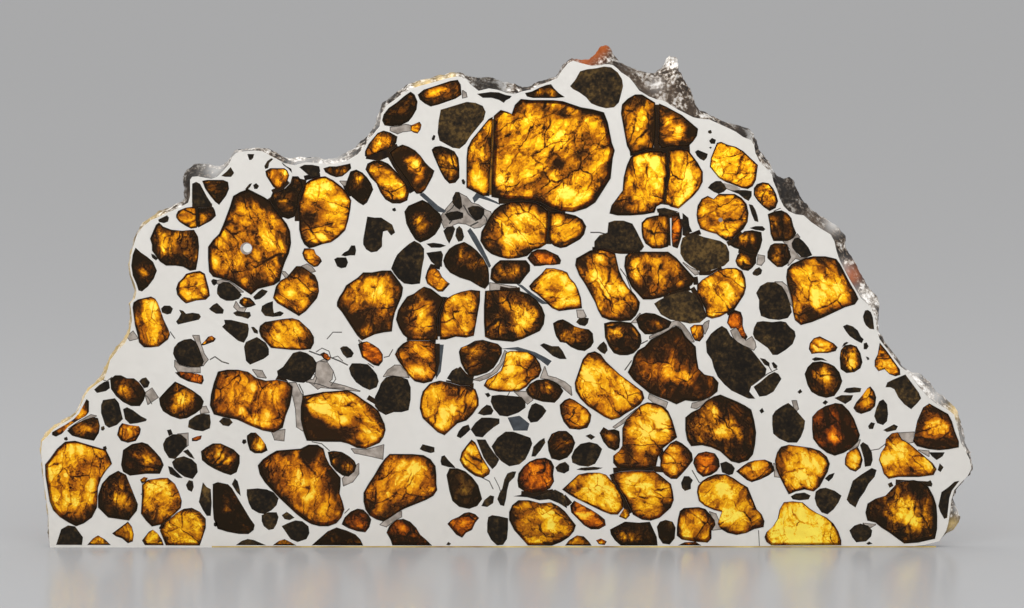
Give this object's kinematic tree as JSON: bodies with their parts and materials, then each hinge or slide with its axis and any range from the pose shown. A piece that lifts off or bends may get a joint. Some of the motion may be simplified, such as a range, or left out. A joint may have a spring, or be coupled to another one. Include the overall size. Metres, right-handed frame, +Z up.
{
  "type": "meteorite slice",
  "caption": "Polished slice of pallasite meteorite: olivine crystals set in iron-nickel metal, standing upright on a straight sawn foot",
  "frame": {"origin": "centre of the bounding box's underside, on the plane of the sawn foot", "axes": "+X to the right as the polished face is looked at, +Y from the polished face to the back face, +Z up from the sawn foot"},
  "size_m": [0.2432, 0.005, 0.1309],
  "materials": {
    "iron_nickel": "polished front face, rough brown-silver natural rim",
    "olivine_gold": "clear golden crystal, polished flat",
    "olivine_amber": "clear amber crystal, polished flat",
    "olivine_orange": "orange-red crystal, polished flat",
    "olivine_brown": "dark brown crystal, polished flat",
    "olivine_dark": "almost black crystal, polished flat"
  },
  "bodies": {
    "root": {"metal_matrix": "iron_nickel", "olivine_crystal_01": "olivine_dark", "olivine_crystal_02": "olivine_amber", "olivine_crystal_03": "olivine_brown", "olivine_crystal_04": "olivine_gold", "olivine_crystal_05": "olivine_gold", "olivine_crystal_06": "olivine_gold", "olivine_crystal_07": "olivine_gold", "olivine_crystal_08": "olivine_amber", "olivine_crystal_09": "olivine_gold", "olivine_crystal_10": "olivine_gold", "olivine_crystal_11": "olivine_brown", "olivine_crystal_12": "olivine_gold", "olivine_crystal_13": "olivine_gold", "olivine_crystal_14": "olivine_gold", "olivine_crystal_15": "olivine_brown", "olivine_crystal_16": "olivine_gold", "olivine_crystal_17": "olivine_gold", "olivine_crystal_18": "olivine_gold", "olivine_crystal_19": "olivine_gold", "olivine_crystal_20": "olivine_gold", "olivine_crystal_21": "olivine_gold", "olivine_crystal_22": "olivine_gold", "olivine_crystal_23": "olivine_brown", "olivine_crystal_24": "olivine_brown", "olivine_crystal_25": "olivine_gold", "olivine_crystal_26": "olivine_gold", "olivine_crystal_27": "olivine_gold", "olivine_crystal_28": "olivine_dark", "olivine_crystal_29": "olivine_gold", "olivine_crystal_30": "olivine_gold", "olivine_crystal_31": "olivine_amber", "olivine_crystal_32": "olivine_dark", "olivine_crystal_33": "olivine_amber", "olivine_crystal_34": "olivine_gold", "olivine_crystal_35": "olivine_brown", "olivine_crystal_36": "olivine_gold", "olivine_crystal_37": "olivine_gold", "olivine_crystal_38": "olivine_amber", "olivine_crystal_39": "olivine_dark", "olivine_crystal_40": "olivine_gold", "olivine_crystal_41": "olivine_amber", "olivine_crystal_42": "olivine_gold", "olivine_crystal_43": "olivine_gold", "olivine_crystal_44": "olivine_brown", "olivine_crystal_45": "olivine_gold", "olivine_crystal_46": "olivine_orange", "olivine_crystal_47": "olivine_gold", "olivine_crystal_48": "olivine_amber", "olivine_crystal_49": "olivine_brown", "olivine_crystal_50": "olivine_gold", "olivine_crystal_51": "olivine_gold", "olivine_crystal_52": "olivine_brown", "olivine_crystal_53": "olivine_amber", "olivine_crystal_54": "olivine_gold", "olivine_crystal_55": "olivine_gold", "olivine_crystal_56": "olivine_gold", "olivine_crystal_57": "olivine_gold", "olivine_crystal_58": "olivine_gold", "olivine_crystal_59": "olivine_brown"}
  },
  "joints": []
}
